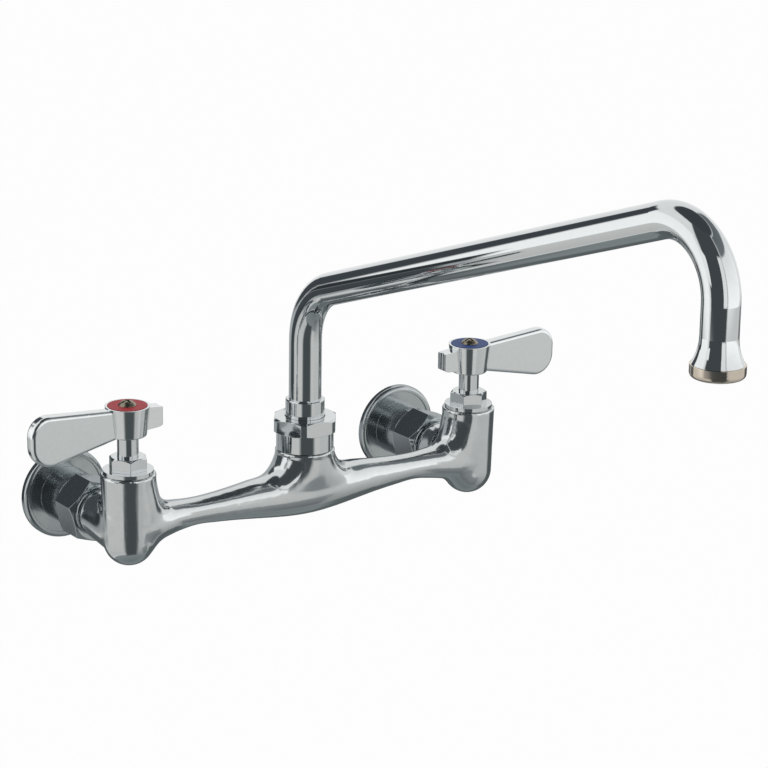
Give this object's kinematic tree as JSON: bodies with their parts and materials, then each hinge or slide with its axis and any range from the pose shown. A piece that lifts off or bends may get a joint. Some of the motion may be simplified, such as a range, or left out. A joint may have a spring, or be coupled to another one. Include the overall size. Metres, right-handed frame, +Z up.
{
  "type": "wall-mounted commercial faucet",
  "caption": "Chromed wall faucet on 8 in centres: two flanged inlets, quarter-turn lever valves and a 12 in swing spout.",
  "frame": {"origin": "on the wall plane, midway between the two supply inlets and at their height", "axes": "+X from the hot valve to the cold valve, +Y into the wall, +Z up; the front faces -Y"},
  "size_m": [0.3092, 0.3834, 0.2291],
  "materials": {
    "chrome": "polished chrome plate",
    "lever_chrome": "polished chrome plate, slightly softer than the body",
    "nickel": "polished nickel plate, warmer than the chrome",
    "screw_metal": "bare brass, polished head",
    "bare_brass": "machined brass, unplated",
    "spring_bronze": "bare spring bronze",
    "rubber": "black moulded rubber",
    "ceramic": "lapped alumina ceramic, off-white",
    "bearing_plastic": "natural low-friction plastic",
    "grey_plastic": "moulded grey plastic",
    "hot_red": "gloss red plastic",
    "cold_blue": "gloss blue plastic"
  },
  "bodies": {
    "faucet": {"faucet_body": "chrome", "hot_inlet_flange": "chrome", "hot_coupling_nut": "chrome", "hot_inlet_washer": "rubber", "hot_nut_keeper": "bare_brass", "hot_bonnet": "chrome", "hot_bonnet_seal": "rubber", "hot_seat_seal": "rubber", "hot_fixed_disc": "ceramic", "cold_inlet_flange": "chrome", "cold_coupling_nut": "chrome", "cold_inlet_washer": "rubber", "cold_nut_keeper": "bare_brass", "cold_bonnet": "chrome", "cold_bonnet_seal": "rubber", "cold_seat_seal": "rubber", "cold_fixed_disc": "ceramic", "swing_nut": "chrome", "swing_bearing": "bearing_plastic"},
    "hot_handle": {"hot_moving_disc": "ceramic", "hot_stem": "chrome", "hot_stem_seals": "rubber", "hot_lever": "lever_chrome", "hot_index_disc": "hot_red", "hot_handle_screw": "screw_metal"},
    "cold_handle": {"cold_moving_disc": "ceramic", "cold_stem": "chrome", "cold_stem_seals": "rubber", "cold_lever": "lever_chrome", "cold_index_disc": "cold_blue", "cold_handle_screw": "screw_metal"},
    "spout": {"spout_ring": "spring_bronze", "spout_sleeve": "chrome", "spout_seals": "rubber", "spout_tube": "chrome", "outlet_ring": "nickel", "outlet_washer": "rubber", "flow_straightener": "grey_plastic"}
  },
  "joints": [
    {"name": "hot_valve", "type": "hinge", "parent": "faucet", "child": "hot_handle", "pos_m": [-0.1016, -0.0668, 0.024], "axis": [0, 0, 1], "range_deg": [0, 90]},
    {"name": "cold_valve", "type": "hinge", "parent": "faucet", "child": "cold_handle", "pos_m": [0.1016, -0.0668, 0.024], "axis": [0, 0, 1], "range_deg": [-90, 0]},
    {"name": "spout_swing", "type": "hinge", "parent": "faucet", "child": "spout", "pos_m": [0, -0.0668, 0.03], "axis": [0, 0, 1], "range_deg": [-98, 98]}
  ]
}
